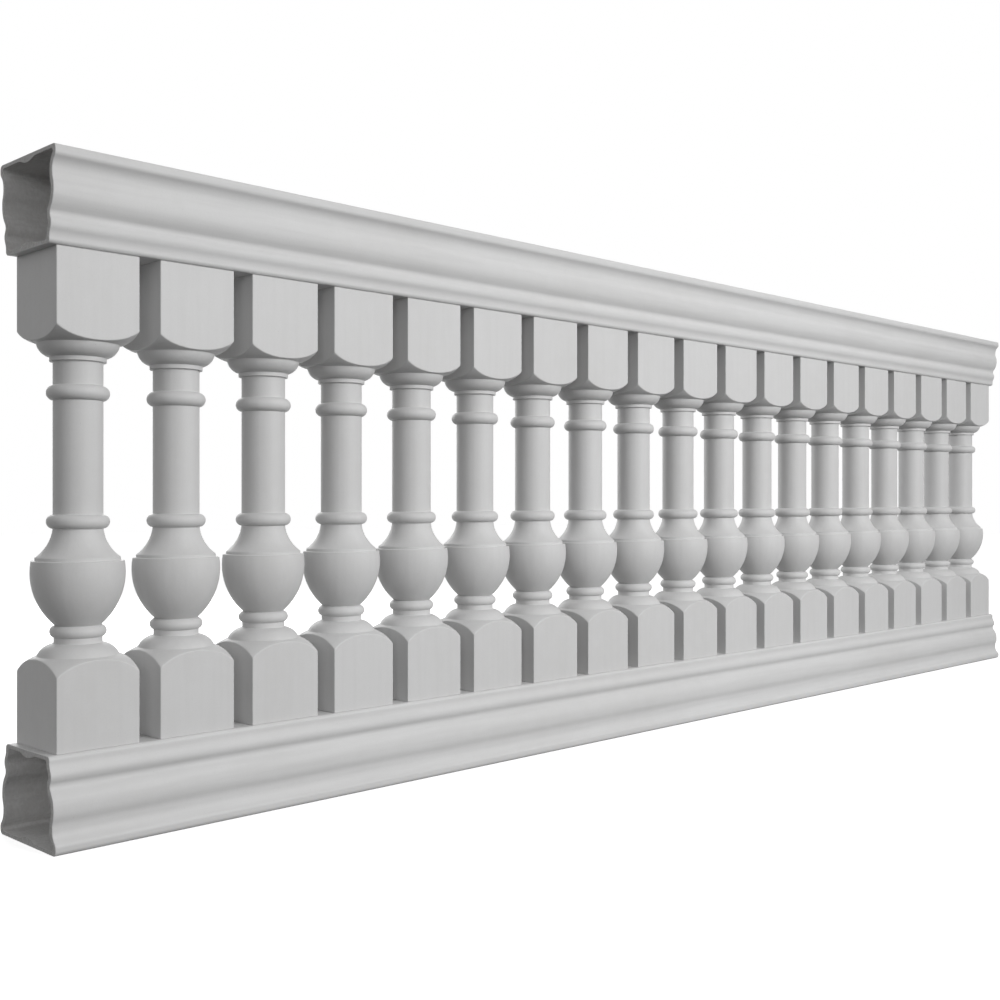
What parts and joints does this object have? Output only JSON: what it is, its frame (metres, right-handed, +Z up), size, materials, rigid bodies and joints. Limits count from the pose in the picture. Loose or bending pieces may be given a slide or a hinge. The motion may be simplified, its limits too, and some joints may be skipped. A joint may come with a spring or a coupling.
{
  "type": "moulded balustrade section",
  "caption": "Straight balustrade section: a hollow moulded handrail and a matching base rail with turned balusters standing between them.",
  "frame": {"origin": "on the floor, under the middle of the section", "axes": "+X along the rails, -Y the front, +Z up"},
  "size_m": [3.048, 0.176, 0.977],
  "materials": {
    "gelcoat": "matte light grey gelcoat"
  },
  "bodies": {
    "root": {"bottom_rail": "gelcoat", "top_rail": "gelcoat", "baluster_01": "gelcoat", "baluster_02": "gelcoat", "baluster_03": "gelcoat", "baluster_04": "gelcoat", "baluster_05": "gelcoat", "baluster_06": "gelcoat", "baluster_07": "gelcoat", "baluster_08": "gelcoat", "baluster_09": "gelcoat", "baluster_10": "gelcoat", "baluster_11": "gelcoat", "baluster_12": "gelcoat", "baluster_13": "gelcoat", "baluster_14": "gelcoat", "baluster_15": "gelcoat", "baluster_16": "gelcoat", "baluster_17": "gelcoat", "baluster_18": "gelcoat", "baluster_19": "gelcoat"}
  },
  "joints": []
}
